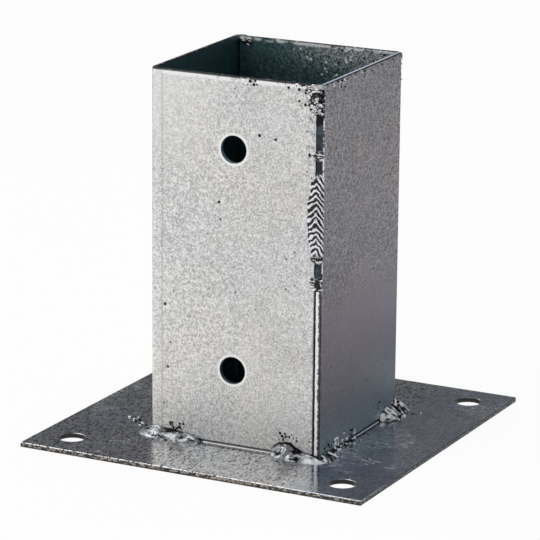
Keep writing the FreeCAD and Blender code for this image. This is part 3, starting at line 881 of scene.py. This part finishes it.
class POSTBASE_OT_spatter(bpy.types.Operator):
    """Scatter the weld droplets that froze on the walls and on the plate"""

    bl_idname = "postbase.spatter"
    bl_label = "Spatter"

    def execute(self, context):
        detail = context.scene.postbase_detail
        largest = detail.spatter_radius
        scatter = random.Random(detail.seed)
        mesh = bmesh.new()
        for side, across, up, count in WALL_SPATTER:
            for _ in range(count):
                place = wall_place(side, scatter.uniform(*across), scatter.uniform(*up))
                add_spatter(mesh, place, wall_normal(side), largest, scatter)
        for start, end, spread, count in PLATE_SPATTER:
            for _ in range(count):
                share = scatter.random()
                middle = [a + (b - a) * share for a, b in zip(start, end)]
                x, y = (value + scatter.gauss(0.0, spread) for value in middle)
                add_spatter(mesh, Vector((x * MM, y * MM, PLATE_TOP)), UPWARD, largest, scatter)
        steel_piece("weld_spatter", mesh, "weld_metal")
        return {"FINISHED"}


class POSTBASE_OT_rim_dross(bpy.types.Operator):
    """Hang the crumbs of zinc along the rim, and the run-out drops inside the back corners"""

    bl_idname = "postbase.rim_dross"
    bl_label = "Rim dross"

    def execute(self, context):
        seed = context.scene.postbase_detail.seed
        noise.seed_set(seed)
        scatter = random.Random(seed + 1)
        mesh = bmesh.new()
        for side, across, up, count, largest in RIM_DROSS:
            for _ in range(count):
                radius = largest * MM * scatter.uniform(0.35, 1.0)
                height = min(scatter.uniform(*up), SLEEVE_UP - radius / MM)
                place = wall_place(side, scatter.uniform(*across), height)
                wide = scatter.uniform(1.0, 2.2)
                crumb = add_droplet(mesh, place, wall_normal(side), radius, 0.7, wide)
                roughen(crumb, 0.5 * MM, 0.25 * radius)
        steel_piece("rim_dross", mesh, "weld_metal")

        mesh = bmesh.new()
        for across, up, radius in RIM_DROP:
            place = wall_place("back", across, up, -SHEET)
            lobe = add_droplet(mesh, place, wall_normal("back"), radius * MM, 0.8, 1.15, detail=4)
            roughen(lobe, 1.1 * MM, 0.22 * MM)
        steel_piece("rim_drop", mesh, "weld_metal")
        return {"FINISHED"}


class POSTBASE_OT_foot_run(bpy.types.Operator):
    """Run the thin line of zinc that froze in the corner between the sleeve's foot and the plate"""

    bl_idname = "postbase.foot_run"
    bl_label = "Foot run"

    def execute(self, context):
        detail = context.scene.postbase_detail
        noise.seed_set(detail.seed)
        leg = detail.foot_run
        ring_spacing, lump_pitch = 0.8 * MM, 2.2 * MM
        mesh = bmesh.new()
        for side, (start, end) in FOOT_RUNS.items():
            first, last = wall_place(side, start, 0.0), wall_place(side, end, 0.0)
            along = last - first
            turn = along.to_track_quat("Z", "Y").to_matrix().to_4x4()
            bmesh.ops.create_cone(
                mesh,
                cap_ends=True,
                segments=10,
                radius1=leg,
                radius2=leg,
                depth=along.length,
                matrix=Matrix.Translation((first + last) / 2) @ turn,
            )
            sides = [edge for edge in mesh.edges if edge.calc_length() > 0.5 * along.length]
            rings = int(along.length / ring_spacing)
            cut = bmesh.ops.subdivide_edges(mesh, edges=sides, cuts=rings, use_grid_fill=True)
            fresh = {item for item in cut["geom"] if isinstance(item, bmesh.types.BMVert)}
            roughen(fresh, lump_pitch, 0.2 * leg)
        steel_piece("foot_run", mesh, "zinc_sheet")
        return {"FINISHED"}


class POSTBASE_OT_stage(bpy.types.Operator):
    """Set the floor, the surroundings, the lamp and the camera"""

    bl_idname = "postbase.stage"
    bl_label = "Stage"

    def execute(self, context):
        studio = context.scene.postbase_studio
        make_floor()
        make_cards(studio)
        make_world()
        make_lamp()
        make_camera(studio)
        context.scene.view_settings.view_transform = "Standard"
        return {"FINISHED"}


# ---------------------------------------------------------------- stage
# The floor, in metres from its middle to each side, and the share of plain white in what is seen
# of it; the rest is paper in the lamp's light.
FLOOR_HALF = 6.0
FLOOR_WHITE = 0.93

# The cards that the metal mirrors, in metres: how far off the floor they start, their right, back
# and front, the top of the upright ones, the height of the one overhead, how far forward it ends
# against the one that slopes up to the back, and the line just beside the plate.
CARD_LIFT = 0.001
CARD_SIDE = 0.9
CARD_BACK = 0.7
CARD_FRONT = -1.0
CARD_TOP = 1.2
CARD_OVERHEAD = 1.1
CARD_JOINT = -0.1
BESIDE_PLATE = 0.0755

# The key lamp: where it hangs, where it aims, its width and height, and its power.
KEY_PLACE = Vector((-0.55, -0.45, 0.95))
KEY_AIM = Vector((0.0, 0.0, 0.06))
KEY_SIZE = (0.7, 0.5)
KEY_POWER = 3.0

# Where the camera aims, and how far it is slid left and down from there, in mm.
CAMERA_AIM = Vector((0.0, 0.0, 75.0 * MM))
CAMERA_LEFT = 2.243
CAMERA_DOWN = 9.747


def seen_ray(n):
    """1 for camera, mirror and glass rays, and 0 for the rest."""
    path = n.add("ShaderNodeLightPath")
    rays = ("Is Camera Ray", "Is Glossy Ray", "Is Transmission Ray")
    return n.most(*(path.outputs[ray] for ray in rays))


def flat_piece(name, corners, material):
    """A flat stage piece through four corners."""
    mesh = bmesh.new()
    bmesh.ops.contextual_create(mesh, geom=[mesh.verts.new(corner) for corner in corners])
    data = bpy.data.meshes.new(name)
    mesh.to_mesh(data)
    mesh.free()
    data.materials.append(material)
    piece = bpy.data.objects.new(name, data)
    bpy.context.scene.collection.objects.link(piece)
    return piece


def span(ends, first, second):
    """Four corners between a left and a right end, along two edges given by their Y and Z."""
    left, right = ends
    return [(left, *first), (right, *first), (right, *second), (left, *second)]


def make_floor():
    """Pale paper that looks white and still takes the part's shadow."""
    material = bpy.data.materials.new("pale_floor")
    n = bare_nodes(material)
    paper = n.add("ShaderNodeBsdfDiffuse")
    paper.inputs["Color"].default_value = (0.9, 0.9, 0.9, 1.0)
    white = n.add("ShaderNodeEmission")
    white.inputs["Strength"].default_value = 1.0
    blend = n.add("ShaderNodeMixShader")
    n.join(n.times(seen_ray(n), FLOOR_WHITE), blend.inputs[0])
    n.join(paper.outputs[0], blend.inputs[1])
    n.join(white.outputs[0], blend.inputs[2])
    n.join(blend.outputs[0], n.add("ShaderNodeOutputMaterial").inputs["Surface"])
    ends = (-FLOOR_HALF, FLOOR_HALF)
    flat_piece("floor", span(ends, (-FLOOR_HALF, 0.0), (FLOOR_HALF, 0.0)), material)


def card_material(name, tint, near, far, reach=(0.0, 1.0)):
    """A tinted glow that changes along Y from near to far over a reach."""
    material = bpy.data.materials.new(name)
    n = bare_nodes(material)
    y = n.split(n.add("ShaderNodeTexCoord").outputs["Object"])[1]
    glow = n.add("ShaderNodeEmission")
    glow.inputs["Color"].default_value = tint
    n.join(n.band(y, *reach, near, far), glow.inputs["Strength"])
    n.join(glow.outputs[0], n.add("ShaderNodeOutputMaterial").inputs["Surface"])
    return material


def make_cards(studio):
    """Dark cards at the back and the right, overhead and on the floor, for the metal to mirror."""
    dark = studio.surround_grey
    plain = card_material("dark_card", (1.0, 1.02, 1.10, 1.0), dark, dark)
    rising = card_material("right_floor_card", (1.04, 1.0, 1.07, 1.0), 0.05, 0.52, (-0.02, 0.34))
    black = card_material("black_card", (1.0, 1.05, 1.10, 1.0), 0.05, 0.05)
    dim = card_material("dim_card", (1.0, 1.0, 1.0, 1.0), 0.20, 0.20)
    right_wall = [
        (CARD_SIDE, CARD_BACK, CARD_LIFT),
        (CARD_SIDE, CARD_FRONT, CARD_LIFT),
        (CARD_SIDE, CARD_FRONT, CARD_TOP),
        (CARD_SIDE, CARD_BACK, CARD_TOP),
    ]
    overhead = (-CARD_SIDE, CARD_SIDE)
    foot, head = (CARD_BACK, CARD_LIFT), (CARD_BACK, CARD_TOP)
    joint, front = (CARD_JOINT, CARD_OVERHEAD), (CARD_FRONT, CARD_OVERHEAD)
    cards = {
        "card_back": (plain, span((-1.6, CARD_SIDE), foot, head)),
        "card_right": (plain, right_wall),
        "card_floor": (rising, span((BESIDE_PLATE, CARD_SIDE), (-0.05, CARD_LIFT), foot)),
        "card_behind": (black, span((-1.2, BESIDE_PLATE), (0.085, CARD_LIFT), foot)),
        "card_top": (plain, span(overhead, joint, head)),
        "card_over": (dim, span(overhead, front, joint)),
        "card_brow": (dim, span(overhead, (-1.5, 0.6), front)),
    }
    for name, (material, corners) in cards.items():
        card = flat_piece(name, corners, material)
        card.visible_camera = False
        card.visible_diffuse = False
        card.visible_shadow = False
        card.visible_transmission = False


def make_world():
    """White to look at, and a plain pale blue light on the part."""
    world = bpy.data.worlds.new("white_surroundings")
    bpy.context.scene.world = world
    n = bare_nodes(world)
    light = n.add("ShaderNodeBackground")
    light.inputs["Color"].default_value = (0.9, 0.92, 0.95, 1.0)
    light.inputs["Strength"].default_value = 0.8
    white = n.add("ShaderNodeBackground")
    white.inputs["Strength"].default_value = 1.0
    blend = n.add("ShaderNodeMixShader")
    n.join(seen_ray(n), blend.inputs[0])
    n.join(light.outputs[0], blend.inputs[1])
    n.join(white.outputs[0], blend.inputs[2])
    n.join(blend.outputs[0], n.add("ShaderNodeOutputWorld").inputs["Surface"])


def make_lamp():
    """A soft key from high on the front left."""
    data = bpy.data.lights.new("key", "AREA")
    data.shape = "RECTANGLE"
    data.size, data.size_y = KEY_SIZE
    data.energy = KEY_POWER
    lamp = bpy.data.objects.new("key", data)
    bpy.context.scene.collection.objects.link(lamp)
    lamp.location = KEY_PLACE
    lamp.rotation_euler = (KEY_AIM - lamp.location).to_track_quat("-Z", "Y").to_euler()


def make_camera(studio):
    """A long lens from the front right, looking down a little."""
    data = bpy.data.cameras.new("camera")
    data.lens = studio.lens
    data.sensor_width = 36.0
    data.clip_start, data.clip_end = 0.01, 50.0
    camera = bpy.data.objects.new("camera", data)
    bpy.context.scene.collection.objects.link(camera)
    yaw, pitch = studio.yaw, studio.pitch
    flat = math.cos(pitch)
    ahead = Vector((-math.sin(yaw) * flat, math.cos(yaw) * flat, -math.sin(pitch)))
    level = Vector((math.cos(yaw), math.sin(yaw), 0.0))
    turn = Matrix.Rotation(studio.roll, 3, -ahead)
    right, up = turn @ level, turn @ level.cross(ahead)
    place = CAMERA_AIM - ahead * studio.distance - right * CAMERA_LEFT * MM - up * CAMERA_DOWN * MM
    basis = Matrix((right, up, -ahead)).transposed().to_4x4()
    camera.matrix_world = Matrix.Translation(place) @ basis
    bpy.context.scene.camera = camera


# ---------------------------------------------------------------- panel and registration
class POSTBASE_PT_panel(bpy.types.Panel):
    """Lists the steps that dress the post base"""

    bl_label = "Post Base"
    bl_space_type = "VIEW_3D"
    bl_region_type = "UI"
    bl_category = "Post Base"

    def draw(self, context):
        for group in SETTINGS:
            settings = getattr(context.scene, group)
            for name in settings.bl_rna.properties.keys():
                if name not in ("rna_type", "name"):
                    self.layout.prop(settings, name)
        for step in STEPS:
            self.layout.operator(step.bl_idname)


SETTINGS = {
    "postbase_finish": PostBaseFinish,
    "postbase_detail": PostBaseDetail,
    "postbase_studio": PostBaseStudio,
}
STEPS = [
    POSTBASE_OT_finishes,
    POSTBASE_OT_spatter,
    POSTBASE_OT_rim_dross,
    POSTBASE_OT_foot_run,
    POSTBASE_OT_stage,
]
CLASSES = [*SETTINGS.values(), *STEPS, POSTBASE_PT_panel]


def register():
    for cls in CLASSES:
        bpy.utils.register_class(cls)
    for name, group in SETTINGS.items():
        setattr(bpy.types.Scene, name, bpy.props.PointerProperty(type=group))


def unregister():
    for name in SETTINGS:
        delattr(bpy.types.Scene, name)
    for cls in reversed(CLASSES):
        bpy.utils.unregister_class(cls)


def main():
    register()
    bpy.ops.postbase.finishes()
    bpy.ops.postbase.spatter()
    bpy.ops.postbase.rim_dross()
    bpy.ops.postbase.foot_run()
    bpy.ops.postbase.stage()


if __name__ == "__main__":
    main()
